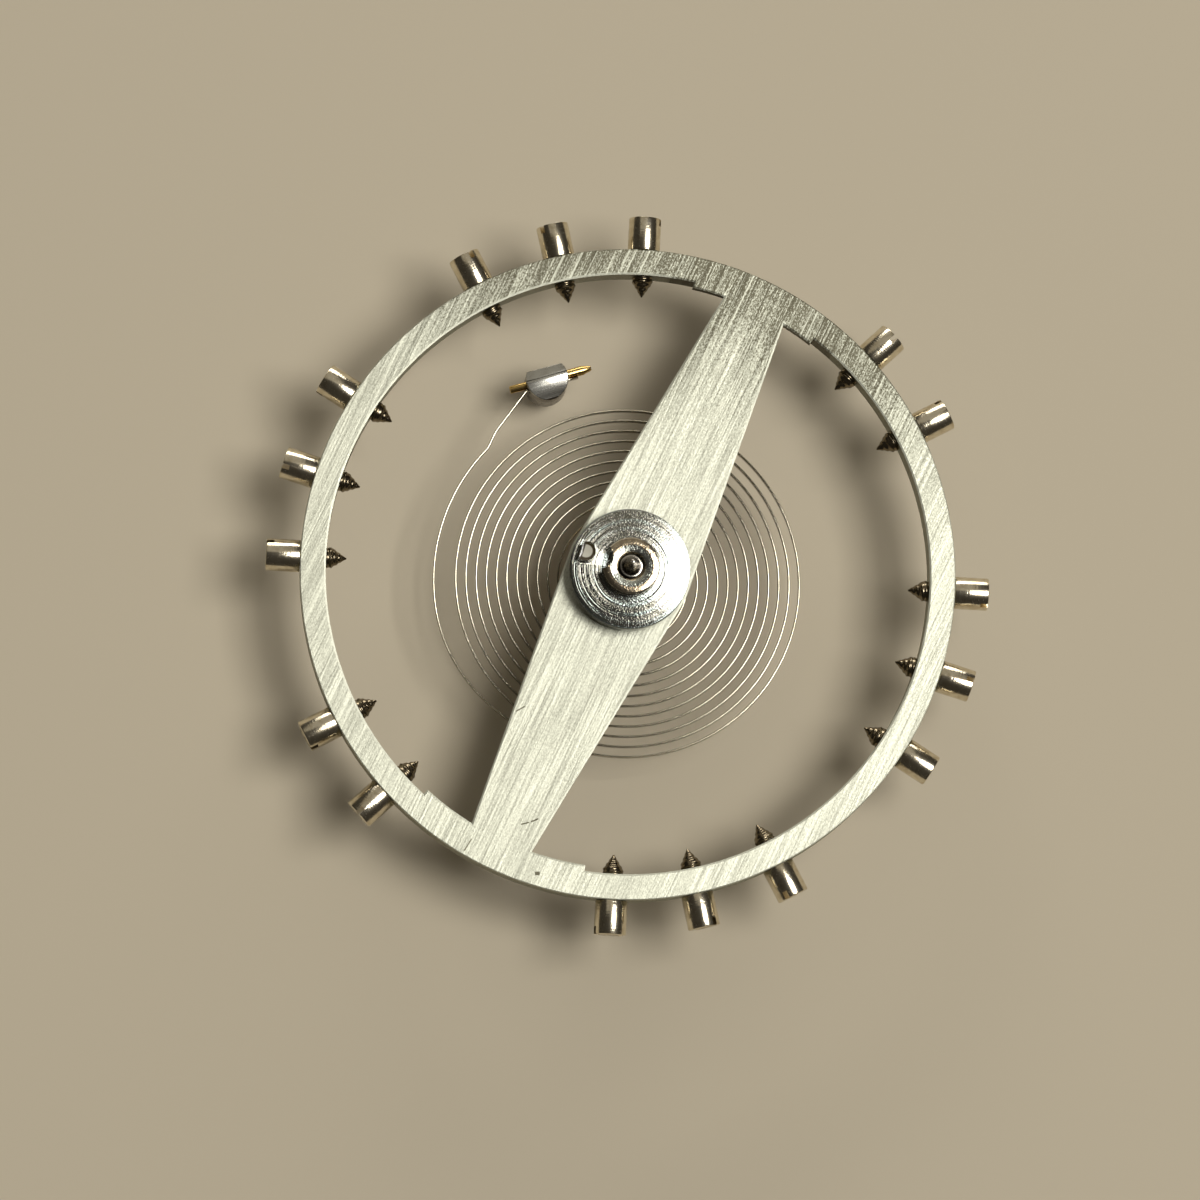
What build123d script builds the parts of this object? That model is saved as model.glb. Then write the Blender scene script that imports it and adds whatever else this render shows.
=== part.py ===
from build123d import *
import os
from math import acos, cos, degrees, radians, sin

# A watch balance: wheel with screws, staff, double roller, flat balance spring, collet and stud.
# Millimetres. +Z runs along the staff to its roller side, and the origin is the tip of the
# cock-side pivot. The wheel's arm lies along X.

os.makedirs("parts", exist_ok=True)

# Balance staff, from the cock-side pivot up
pivot_diameter = 0.12
pivot_length = 0.30
pivot_end_round = 0.03
cock_cone_length = 0.30
cock_cone_diameter = 0.40
collet_seat_diameter = 0.64
collet_seat_length = 2.33
rivet_diameter = 1.24
rivet_height = 0.08
wheel_seat_diameter = 1.00
hub_diameter = 1.70
hub_height = 0.42
roller_post_diameter = 0.64
roller_post_length = 0.85
roller_cone_length = 0.55
roller_cone_diameter = 0.50

# Balance wheel
rim_diameter = 17.00
rim_wall = 0.67
rim_height = 0.80
arm_thickness = 0.32
arm_centre_width = 3.26
arm_end_width = 1.64
arm_centre_round = 0.80
ledge_wall = 0.15
ledge_half_angles = (12.7, 17.0)
rim_edge_chamfer = 0.03

# Balance screws
screw_head_diameter = 0.84
screw_head_length = 0.88
screw_head_chamfer = 0.03
screw_slot_width = 0.13
screw_slot_depth = 0.20
screw_thread_diameter = 0.50
screw_thread_pitch = 0.12
screw_thread_depth = 0.035
screw_thread_reach = 0.15
screw_point_length = 0.38
screw_point_diameter = 0.03
screw_step_angle = 15.0
screw_first_angle = 22.5
screw_steps = (0, 1, 2, 4, 5, 6, 8, 9)
slot_turn_step = 68.0

# Double roller and its jewel
table_diameter = 3.12
table_thickness = 0.30
table_chamfer = 0.03
safety_diameter = 1.48
safety_thickness = 0.35
safety_hub_diameter = 0.92
safety_hub_height = 0.28
safety_chamfer = 0.05
safety_recess_diameter = 1.10
safety_recess_depth = 0.07
crescent_radius = 0.34
crescent_distance = 0.84
jewel_diameter = 0.50
jewel_depth = 0.38
jewel_distance = 1.22
jewel_rise = 0.55
jewel_tail = 0.05
jewel_clearance = 0.01
jewel_end_chamfer = 0.02
jewel_angle = 97.2

# Balance spring, a flat strip wound inwards anticlockwise as seen from the roller side
strip_thickness = 0.05
strip_height = 0.22
spring_level = 1.63
coil_outer_radius = 4.63
coil_collet_gap = 0.2255
coil_half_turns = 27
coil_start_angle = 201.35
terminal_rise = 0.37
terminal_sweep_angle = 80.0
regulator_arc_angle = 49.7
dogleg_radius = 0.25
dogleg_out_angle = 18.9
dogleg_back_angle = 11.7
dogleg_length = 0.405
terminal_leg_length = 1.27
stud_bend_radius = 0.12
stud_bend_angle = 37.6
stud_entry = 0.03
strip_tail = 0.28
collet_elbow_radius = 0.25
strip_pin_gap = 0.005

# Collet and its taper pin
collet_diameter = 1.60
collet_height = 0.70
collet_hole_diameter = 0.30
collet_hole_distance = 0.56
collet_strip_shift = 0.065
collet_slit_width = 0.12
collet_edge_chamfer = 0.03
collet_pin_small_diameter = 0.13
collet_pin_big_diameter = 0.16
collet_pin_overhang = 0.10

# Stud and its taper pin
stud_diameter = 1.11
stud_flat_distance = 0.295
stud_length = 1.30
stud_hole_depth = 0.37
stud_hole_diameter = 0.36
stud_hole_shift = 0.05
stud_end_round = 0.10
stud_foot_chamfer = 0.05
stud_pin_small_diameter = 0.20
stud_pin_big_diameter = 0.25
stud_pin_small_reach = 1.00
stud_pin_big_reach = 1.21
pin_point_share = 0.5
pin_end_chamfer_share = 0.35

# One overrun for every through cut, and points to each arc when the spring's gap is measured
overrun = 0.20
gap_steps = 18

# Levels along the staff
collet_seat_base = pivot_length + cock_cone_length
rivet_base = collet_seat_base + collet_seat_length
arm_base = rivet_base + rivet_height
wheel_top = arm_base + arm_thickness
rim_base = wheel_top - rim_height
screw_level = wheel_top - rim_height / 2
table_base = wheel_top + hub_height
table_top = table_base + table_thickness
safety_base = table_top + safety_hub_height
safety_top = safety_base + safety_thickness
post_top = table_base + roller_post_length
staff_top = post_top + roller_cone_length + pivot_length
rim_radius = rim_diameter / 2
rim_inner_radius = rim_radius - rim_wall
arm_root_radius = rim_inner_radius + 2 * rim_edge_chamfer


def polar(radius, angle):
    return Vector(radius * cos(radians(angle)), radius * sin(radians(angle)))


def save(piece, name):
    piece.part.label = name
    export_step(piece.part, "parts/" + name + ".step")


# Balance staff: a turned profile, spun about its axis
with BuildPart() as staff:
    with BuildSketch(Plane.XZ):
        with BuildLine():
            Polyline(
                (0, 0),
                (pivot_diameter / 2, 0),
                (pivot_diameter / 2, pivot_length),
                (cock_cone_diameter / 2, collet_seat_base),
                (collet_seat_diameter / 2, collet_seat_base),
                (collet_seat_diameter / 2, rivet_base),
                (rivet_diameter / 2, rivet_base),
                (rivet_diameter / 2, arm_base),
                (wheel_seat_diameter / 2, arm_base),
                (wheel_seat_diameter / 2, wheel_top),
                (hub_diameter / 2, wheel_top),
                (hub_diameter / 2, table_base),
                (roller_post_diameter / 2, table_base),
                (roller_post_diameter / 2, post_top),
                (roller_cone_diameter / 2, post_top),
                (pivot_diameter / 2, staff_top - pivot_length),
                (pivot_diameter / 2, staff_top),
                (0, staff_top),
                close=True,
            )
        make_face()
    revolve(axis=Axis.Z)
    pivot_ends = edges().filter_by(GeomType.CIRCLE).sort_by(Axis.Z)
    fillet([pivot_ends[0], pivot_ends[-1]], pivot_end_round)
save(staff, "balance_staff")


# Balance wheel: one piece, rim and flat tapered arm, with a ledge at each end of the arm
with BuildPart() as wheel:
    with BuildSketch(Plane.XY.offset(rim_base)):
        Circle(rim_radius)
        Circle(rim_inner_radius, mode=Mode.SUBTRACT)
    extrude(amount=rim_height)
    chamfer(edges().filter_by(GeomType.CIRCLE), rim_edge_chamfer)
    with BuildSketch(Plane.XY.offset(arm_base)) as arm:
        with BuildLine():
            Polyline(
                (0, arm_centre_width / 2),
                (arm_root_radius, arm_end_width / 2),
                (arm_root_radius, -arm_end_width / 2),
                (0, -arm_centre_width / 2),
                (-arm_root_radius, -arm_end_width / 2),
                (-arm_root_radius, arm_end_width / 2),
                close=True,
            )
        make_face()
        fillet(arm.vertices().sort_by_distance((0, 0, arm_base))[:2], arm_centre_round)
        for end_angle, half_angle in zip((0, 180), ledge_half_angles):
            first_angle = end_angle - half_angle
            with BuildLine():
                root = CenterArc((0, 0), arm_root_radius, first_angle, 2 * half_angle)
                face = CenterArc((0, 0), rim_inner_radius - ledge_wall, first_angle, 2 * half_angle)
                Line(root @ 0, face @ 0)
                Line(root @ 1, face @ 1)
            make_face()
        Circle(wheel_seat_diameter / 2, mode=Mode.SUBTRACT)
    extrude(amount=arm_thickness)
    screw_angles = [
        side + screw_first_angle + screw_step_angle * step
        for side in (0, 180)
        for step in screw_steps
    ]
    for angle in screw_angles:
        outward = polar(1, angle)
        start = polar(rim_radius + overrun, angle) + (0, 0, screw_level)
        with BuildSketch(Plane(start, z_dir=-outward)):
            Circle(screw_thread_diameter / 2)
        extrude(amount=rim_wall + 2 * overrun, mode=Mode.SUBTRACT)
save(wheel, "balance_wheel")


# Balance screws: a slotted cylinder head outside the rim, a sharp threaded end inside it
def balance_screw(angle, slot_turn):
    seat = Plane(
        polar(rim_radius, angle) + (0, 0, screw_level),
        x_dir=(0, 0, 1),
        z_dir=polar(1, angle),
    )
    shank = rim_wall + screw_thread_reach
    with BuildPart() as screw:
        with BuildSketch(seat):
            Circle(screw_head_diameter / 2)
        extrude(amount=screw_head_length)
        chamfer(edges().filter_by(GeomType.CIRCLE), screw_head_chamfer)
        slot = seat.offset(screw_head_length - screw_slot_depth)
        with BuildSketch(slot):
            Rectangle(screw_head_diameter + overrun, screw_slot_width, rotation=slot_turn)
        extrude(amount=screw_slot_depth + overrun, mode=Mode.SUBTRACT)
        with BuildSketch(seat):
            Circle(screw_thread_diameter / 2)
        extrude(amount=-shank)
        root = screw_thread_diameter / 2 - screw_thread_depth
        groove = seat.offset(screw_thread_pitch / 2 - shank)
        with BuildSketch(Plane(groove.origin, x_dir=groove.x_dir, z_dir=groove.y_dir)):
            with BuildLine():
                Polyline(
                    (root, 0),
                    (screw_thread_diameter / 2, screw_thread_pitch / 2),
                    (screw_thread_diameter / 2, -screw_thread_pitch / 2),
                    close=True,
                )
            make_face()
        revolve(axis=Axis(seat.origin, seat.z_dir), mode=Mode.SUBTRACT)
        with BuildSketch(seat.offset(-shank)):
            Circle(root)
        with BuildSketch(seat.offset(-shank - screw_point_length)):
            Circle(screw_point_diameter / 2)
        loft()
    return screw


for number, angle in enumerate(screw_angles, start=1):
    screw = balance_screw(angle, number * slot_turn_step)
    save(screw, f"balance_screw_{number:02d}")


# Roller table: a polished disc with a D-shaped hole for the impulse jewel
def jewel_outline(clearance):
    radius = jewel_diameter / 2 + clearance
    flat = jewel_depth - jewel_diameter / 2 + clearance
    Circle(radius)
    with Locations((flat + radius, 0)):
        Rectangle(2 * radius, 2 * radius, mode=Mode.SUBTRACT)


jewel_axis = polar(jewel_distance, jewel_angle)
with BuildPart() as table:
    with BuildSketch(Plane.XY.offset(table_base)):
        Circle(table_diameter / 2)
        Circle(roller_post_diameter / 2, mode=Mode.SUBTRACT)
    extrude(amount=table_thickness)
    outer_edges = edges().filter_by(GeomType.CIRCLE).group_by(SortBy.RADIUS)[-1]
    chamfer(outer_edges, table_chamfer)
    hole_plane = Plane(jewel_axis + (0, 0, table_base), x_dir=polar(1, jewel_angle))
    with BuildSketch(hole_plane):
        jewel_outline(jewel_clearance)
    extrude(amount=table_thickness, mode=Mode.SUBTRACT)
save(table, "roller_table")


# Impulse jewel: a D-shaped post, its flat face outwards
with BuildPart() as jewel:
    with BuildSketch(hole_plane.offset(-jewel_tail)):
        jewel_outline(0)
    extrude(amount=jewel_tail + table_thickness + jewel_rise)
    jewel_end = faces().sort_by(Axis.Z)[-1]
    chamfer(jewel_end.edges(), jewel_end_chamfer)
save(jewel, "impulse_jewel")


# Safety roller: a small disc on a hub, with a shallow recess and the passing crescent
with BuildPart() as safety:
    with BuildSketch(Plane.XY.offset(table_top)):
        Circle(safety_hub_diameter / 2)
    extrude(amount=safety_hub_height)
    with BuildSketch(Plane.XY.offset(safety_base)):
        Circle(safety_diameter / 2)
    extrude(amount=safety_thickness)
    top_edge = edges().filter_by(GeomType.CIRCLE).sort_by(Axis.Z)[-1]
    chamfer(top_edge, safety_chamfer)
    with BuildSketch(Plane.XY.offset(safety_base)):
        with Locations(polar(crescent_distance, jewel_angle)):
            Circle(crescent_radius)
    extrude(amount=safety_thickness, mode=Mode.SUBTRACT)
    with BuildSketch(Plane.XY.offset(safety_top - safety_recess_depth)):
        Circle(safety_recess_diameter / 2)
    extrude(amount=safety_recess_depth, mode=Mode.SUBTRACT)
    with BuildSketch(Plane.XY.offset(table_top)):
        Circle(roller_post_diameter / 2)
    extrude(amount=safety_hub_height + safety_thickness, mode=Mode.SUBTRACT)
save(safety, "safety_roller")


# Balance spring route, from the outermost coil: first out to the stud, then in to the collet
regulator_radius = coil_outer_radius + terminal_rise
terminal_bow = terminal_rise / (2 - 2 * cos(radians(terminal_sweep_angle / 2)))
coil_start = polar(coil_outer_radius, coil_start_angle) + (0, 0, spring_level)
clockwise = polar(1, coil_start_angle - 90)
strip_distance = collet_hole_distance + collet_strip_shift
stud_strip_distance = stud_pin_big_diameter / 2 + strip_pin_gap + strip_thickness / 2
coil_inner_radius = collet_diameter / 2 + coil_collet_gap
coil_step = (coil_outer_radius - coil_inner_radius) / coil_half_turns
elbow_angle = degrees(
    acos((strip_distance - collet_elbow_radius) / (coil_inner_radius - collet_elbow_radius))
)
elbow_to_foot = (coil_inner_radius - collet_elbow_radius) * sin(radians(elbow_angle))

with BuildLine(Plane.XY.offset(spring_level)) as terminal:
    rising = JernArc(
        coil_start, clockwise, coil_outer_radius + terminal_bow, -terminal_sweep_angle / 2
    )
    settling = JernArc(
        rising @ 1, rising % 1, regulator_radius - terminal_bow, -terminal_sweep_angle / 2
    )
    regulator_arc = JernArc(settling @ 1, settling % 1, regulator_radius, -regulator_arc_angle)
    bend_out = JernArc(regulator_arc @ 1, regulator_arc % 1, dogleg_radius, dogleg_out_angle)
    dogleg = Line(bend_out @ 1, bend_out @ 1 + bend_out % 1 * dogleg_length)
    bend_back = JernArc(dogleg @ 1, dogleg % 1, dogleg_radius, -dogleg_back_angle)
    leg = Line(bend_back @ 1, bend_back @ 1 + bend_back % 1 * terminal_leg_length)
    stud_bend = JernArc(leg @ 1, leg % 1, stud_bend_radius, -stud_bend_angle)
    stud_half_chord = (stud_diameter**2 / 4 - stud_strip_distance**2) ** 0.5
    stud_leg_length = stud_entry + 2 * stud_half_chord + strip_tail
    stud_leg = Line(stud_bend @ 1, stud_bend @ 1 + stud_bend % 1 * stud_leg_length)

with BuildLine(Plane.XY.offset(spring_level)) as coil:
    turn_start = coil_start
    turn_direction = -clockwise
    for half_turn in range(coil_half_turns):
        turn_radius = coil_outer_radius - coil_step / 2 - half_turn * coil_step
        turn = JernArc(turn_start, turn_direction, turn_radius, 180)
        turn_start = turn @ 1
        turn_direction = turn % 1
    elbow = JernArc(turn_start, turn_direction, collet_elbow_radius, elbow_angle)
    collet_half_chord = (collet_diameter**2 / 4 - strip_distance**2) ** 0.5
    collet_leg_length = elbow_to_foot + collet_half_chord
    collet_leg = Line(elbow @ 1, elbow @ 1 + elbow % 1 * collet_leg_length)

spring_route = Wire(terminal.edges() + coil.edges())
with BuildPart() as spring:
    with BuildSketch(spring_route ^ 0):
        Rectangle(strip_thickness, strip_height)
    sweep(path=spring_route)
save(spring, "hairspring")

coil_points = [edge @ (step / gap_steps) for edge in coil.edges() for step in range(gap_steps)]
coil_gaps = [
    (point - other).length - strip_thickness
    for place, point in enumerate(coil_points)
    for other in coil_points[place + gap_steps :]
]
print("spring solids", len(spring.solids()), "volume mm3", round(spring.part.volume, 4))
print("strip section times length mm3", round(strip_thickness * strip_height * spring_route.length, 4))
print("spring turns", coil_half_turns / 2, "least gap to itself mm", round(min(coil_gaps), 3))


# Taper pin: a slender cone along a plane's X, its big end drawn to a blunt point
def taper_pin(place, small_diameter, big_diameter, small_reach, big_reach):
    point_length = big_diameter
    pin_axis = Axis(place.origin, place.x_dir)
    with BuildPart() as pin:
        with BuildSketch(place):
            with BuildLine():
                Polyline(
                    (-small_reach, 0),
                    (-small_reach, small_diameter / 2),
                    (big_reach - point_length, big_diameter / 2),
                    (big_reach, big_diameter / 2 * pin_point_share),
                    (big_reach, 0),
                    close=True,
                )
            make_face()
        revolve(axis=pin_axis)
        rings = edges().filter_by(GeomType.CIRCLE).sort_by(pin_axis)
        chamfer([rings[0], rings[-1]], small_diameter / 2 * pin_end_chamfer_share)
    return pin


# Collet: a slit ring on the staff, cross-drilled for the strip and its pin
collet_along = collet_leg % 1
collet_foot = collet_leg @ 1 - collet_along * collet_half_chord - (0, 0, spring_level)
collet_out = collet_foot.normalized()
collet_plane = Plane((0, 0, spring_level - collet_height / 2), x_dir=collet_out)
with BuildPart() as collet:
    with BuildSketch(collet_plane):
        Circle(collet_diameter / 2)
        Circle(collet_seat_diameter / 2, mode=Mode.SUBTRACT)
    extrude(amount=collet_height)
    chamfer(edges().filter_by(GeomType.CIRCLE).group_by(SortBy.RADIUS)[-1], collet_edge_chamfer)
    with BuildSketch(collet_plane):
        with Locations((-collet_diameter / 2, 0)):
            Rectangle(collet_diameter, collet_slit_width)
    extrude(amount=collet_height, mode=Mode.SUBTRACT)
    hole_centre = collet_out * collet_hole_distance + (0, 0, spring_level)
    with BuildSketch(Plane(hole_centre, z_dir=collet_along)):
        Circle(collet_hole_diameter / 2)
    extrude(amount=collet_diameter / 2, both=True, mode=Mode.SUBTRACT)
save(collet, "hairspring_collet")

collet_pin_distance = (
    strip_distance - strip_thickness / 2 - strip_pin_gap - collet_pin_big_diameter / 2
)
collet_pin_reach = (
    (collet_diameter**2 / 4 - collet_pin_distance**2) ** 0.5 + collet_pin_overhang
)
collet_pin_place = Plane(
    collet_out * collet_pin_distance + (0, 0, spring_level), x_dir=collet_along
)
collet_pin = taper_pin(
    collet_pin_place,
    collet_pin_small_diameter,
    collet_pin_big_diameter,
    collet_pin_reach,
    collet_pin_reach,
)
save(collet_pin, "collet_pin")


# Stud: a short D-section post with a domed end, cross-drilled for the strip and its pin
stud_along = stud_leg % 1
stud_out = stud_along.rotate(Axis.Z, 90)
stud_axis = (
    stud_leg @ 0
    + stud_along * (stud_entry + stud_half_chord)
    + stud_out * stud_strip_distance
    - (0, 0, spring_level)
)
stud_top = spring_level + stud_hole_depth
with BuildPart() as stud:
    with BuildSketch(Plane(stud_axis + (0, 0, stud_top), x_dir=stud_out)):
        Circle(stud_diameter / 2)
        with Locations((stud_flat_distance + stud_diameter / 2, 0)):
            Rectangle(stud_diameter, stud_diameter, mode=Mode.SUBTRACT)
    extrude(amount=-stud_length)
    fillet(faces().sort_by(Axis.Z)[-1].edges(), stud_end_round)
    chamfer(faces().sort_by(Axis.Z)[0].edges(), stud_foot_chamfer)
    hole_centre = stud_axis - stud_out * stud_hole_shift + (0, 0, spring_level)
    with BuildSketch(Plane(hole_centre, z_dir=stud_along)):
        Circle(stud_hole_diameter / 2)
    extrude(amount=stud_diameter / 2, both=True, mode=Mode.SUBTRACT)
save(stud, "hairspring_stud")

stud_pin = taper_pin(
    Plane(stud_axis + (0, 0, spring_level), x_dir=stud_along),
    stud_pin_small_diameter,
    stud_pin_big_diameter,
    stud_pin_small_reach,
    stud_pin_big_reach,
)
save(stud_pin, "stud_pin")
print("stud axis at", stud_axis, "flat faces", stud_out)
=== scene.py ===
from math import acos, asin, atan, ceil, cos, degrees, pi, radians, sin, sqrt

import bmesh
import bpy
from mathutils import Matrix, Vector


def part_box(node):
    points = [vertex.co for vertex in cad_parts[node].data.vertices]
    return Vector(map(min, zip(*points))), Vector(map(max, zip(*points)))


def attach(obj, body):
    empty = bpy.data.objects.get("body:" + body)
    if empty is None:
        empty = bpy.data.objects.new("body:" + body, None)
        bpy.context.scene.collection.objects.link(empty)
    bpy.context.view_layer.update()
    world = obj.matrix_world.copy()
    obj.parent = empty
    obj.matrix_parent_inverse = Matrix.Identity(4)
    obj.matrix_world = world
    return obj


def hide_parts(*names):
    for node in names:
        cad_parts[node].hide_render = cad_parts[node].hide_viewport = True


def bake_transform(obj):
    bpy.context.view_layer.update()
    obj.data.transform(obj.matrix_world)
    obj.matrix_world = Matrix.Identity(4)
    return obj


# A pocket watch balance that lies roller side up on a pale bench. Shapes are drawn in
# millimetres and become metres when they are made into pieces.
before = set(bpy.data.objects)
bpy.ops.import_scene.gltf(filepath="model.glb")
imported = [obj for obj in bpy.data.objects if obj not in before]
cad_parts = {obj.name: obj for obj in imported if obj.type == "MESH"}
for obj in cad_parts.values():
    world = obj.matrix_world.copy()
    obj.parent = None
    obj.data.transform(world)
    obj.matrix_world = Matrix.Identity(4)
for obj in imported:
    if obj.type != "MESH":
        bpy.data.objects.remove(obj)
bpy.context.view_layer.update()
mm = 0.001
upwards = Vector((0, 0, 1))

# Places nearer than these count as one, in millimetres: for welding, for edges that lie at a
# level, and for edges that are picked by their middles
weld = 0.0001
hair = 0.001
slack = 0.01

# Lengths of the tools that cut right through, in millimetres
shortTool = 1
tool = 2
longTool = 3


def levels(node):
    # the node's lowest and highest level
    low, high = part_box(node)
    return low.z / mm, high.z / mm


def polar(radius, angle, height=0.0):
    return Vector((radius * cos(radians(angle)), radius * sin(radians(angle)), height))


# Shapes

def spun(profile, steps, closed=False):
    # profile points are (radius, height), spun about Z
    shape = bmesh.new()
    points = [shape.verts.new((radius, 0, height)) for radius, height in profile]
    for first, second in zip(points, points[1:]):
        shape.edges.new((first, second))
    if closed:
        shape.edges.new((points[-1], points[0]))
    bmesh.ops.spin(
        shape,
        geom=shape.verts[:] + shape.edges[:],
        cent=(0, 0, 0),
        axis=(0, 0, 1),
        angle=2 * pi,
        steps=steps,
        use_merge=True,
    )
    return tidied(shape)


def ringBlank(inner, outer, base, top, steps):
    return spun([(inner, base), (outer, base), (outer, top), (inner, top)], steps, closed=True)


def tidied(shape):
    bmesh.ops.remove_doubles(shape, verts=shape.verts[:], dist=weld)
    bmesh.ops.recalc_face_normals(shape, faces=shape.faces[:])
    return shape


def drawnDown(shape, faces, depth):
    grown = bmesh.ops.extrude_face_region(shape, geom=faces)
    moved = [part for part in grown["geom"] if isinstance(part, bmesh.types.BMVert)]
    bmesh.ops.translate(shape, vec=(0, 0, -depth), verts=moved)


def pushed(shape, depth):
    # a flat outline becomes a block, downwards from where it lies
    drawnDown(shape, shape.faces[:], depth)
    return tidied(shape)


def middleOf(edge):
    # how far the edge's middle lies from the axis, and at what level
    middle = (edge.verts[0].co + edge.verts[1].co) / 2
    return middle.xy.length, middle.z


def softened(shape, width, segments=2, pick=None, sharp=30):
    # takes the sharpness off the edges whose middles pick lets through
    edges = [
        edge
        for edge in shape.edges
        if edge.is_manifold
        and edge.calc_face_angle() > radians(sharp)
        and (pick is None or pick(*middleOf(edge)))
    ]
    bevelled(shape, edges, width, segments, affect="EDGES", clamp_overlap=True)
    return tidied(shape)


def bevelled(shape, geom, width, segments, **settings):
    settings.update({"profile": 0.5, "material": -1})
    bmesh.ops.bevel(shape, geom=geom, offset=width, segments=segments, **settings)


def rod(radius, length, place, segments=48):
    shape = bmesh.new()
    bmesh.ops.create_cone(
        shape, cap_ends=True, segments=segments, radius1=radius, radius2=radius, depth=length
    )
    shape.transform(place)
    return shape


def block(size, place):
    shape = bmesh.new()
    bmesh.ops.create_cube(shape, size=1)
    bmesh.ops.scale(shape, vec=size, verts=shape.verts[:])
    shape.transform(place)
    return shape


def flatSided(radius, flat, segments=72):
    # a circle with one side cut off at that distance along X
    shape = bmesh.new()
    bmesh.ops.create_circle(shape, cap_ends=True, segments=segments, radius=radius)
    return sliced(shape, flat, clear=True)


def sliced(shape, x, clear=False):
    # cuts the faces along a plane at x, and takes away what lies beyond it if asked
    bmesh.ops.bisect_plane(
        shape,
        geom=shape.verts[:] + shape.edges[:] + shape.faces[:],
        plane_co=(x, 0, 0),
        plane_no=(1, 0, 0),
        clear_outer=clear,
    )
    return shape


def joined(shapes):
    # lays shapes that don't touch into one
    whole = bmesh.new()
    for shape in shapes:
        mesh = asMesh(shape)
        whole.from_mesh(mesh)
        bpy.data.meshes.remove(mesh)
    return whole


def asMesh(shape, name="shape"):
    mesh = bpy.data.meshes.new(name)
    shape.to_mesh(mesh)
    shape.free()
    return mesh


def addObject(name, data):
    thing = bpy.data.objects.new(name, data)
    bpy.context.scene.collection.objects.link(thing)
    return thing


def carved(shape, cutter):
    # takes the cutter's form out of the shape
    made = [addObject("shape", asMesh(part)) for part in (shape, cutter)]
    step = made[0].modifiers.new("carve", "BOOLEAN")
    step.operation = "DIFFERENCE"
    step.solver = "EXACT"
    step.object = made[1]
    bpy.context.view_layer.update()
    result = bmesh.new()
    result.from_mesh(made[0].evaluated_get(bpy.context.evaluated_depsgraph_get()).to_mesh())
    for thing in made:
        mesh = thing.data
        bpy.data.objects.remove(thing)
        bpy.data.meshes.remove(mesh)
    return result


def facing(origin, up, across):
    # the place whose Z is up and whose X is across
    third = up.cross(across)
    turn = Matrix((across, third, up)).transposed()
    return Matrix.Translation(origin) @ turn.to_4x4()


def noteMaking(shape, name="making", value=lambda point: point.co):
    # keeps a vector with each point for the paint to follow, as a rule its place in millimetres
    # while the piece was made
    layer = shape.verts.layers.float_vector.new(name)
    for point in shape.verts:
        point[layer] = value(point)
    return shape


def addPiece(node, shape, material, body="balance", sharp=35, ending="_dressed"):
    # the visible piece in the node's place
    bmesh.ops.scale(shape, vec=(mm, mm, mm), verts=shape.verts[:])
    mesh = asMesh(shape, node + ending)
    mesh.materials.append(material)
    mesh.shade_smooth()
    mesh.set_sharp_from_angle(angle=radians(sharp))
    piece = addObject(node + ending, mesh)
    even = piece.modifiers.new("evenNormals", "WEIGHTED_NORMAL")
    even.keep_sharp = True
    if body:
        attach(piece, body)
    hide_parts(node)
    return piece


# Shader words

class Wire:
    # a socket that takes part in sums
    def __init__(self, paint, socket):
        self.paint = paint
        self.socket = socket

    def sum(self, operation, *others):
        inputs = dict(enumerate((self,) + others))
        return self.paint.node("ShaderNodeMath", {"operation": operation}, inputs)

    def __add__(self, other):
        return self.sum("ADD", other)

    def __sub__(self, other):
        return self.sum("SUBTRACT", other)

    def __mul__(self, other):
        return self.sum("MULTIPLY", other)

    def __rsub__(self, other):
        return self.sum("MULTIPLY_ADD", -1.0, other)

    def __abs__(self):
        return self.sum("ABSOLUTE")

    def larger(self, other):
        return self.sum("MAXIMUM", other)

    __radd__ = __add__
    __rmul__ = __mul__


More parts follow.
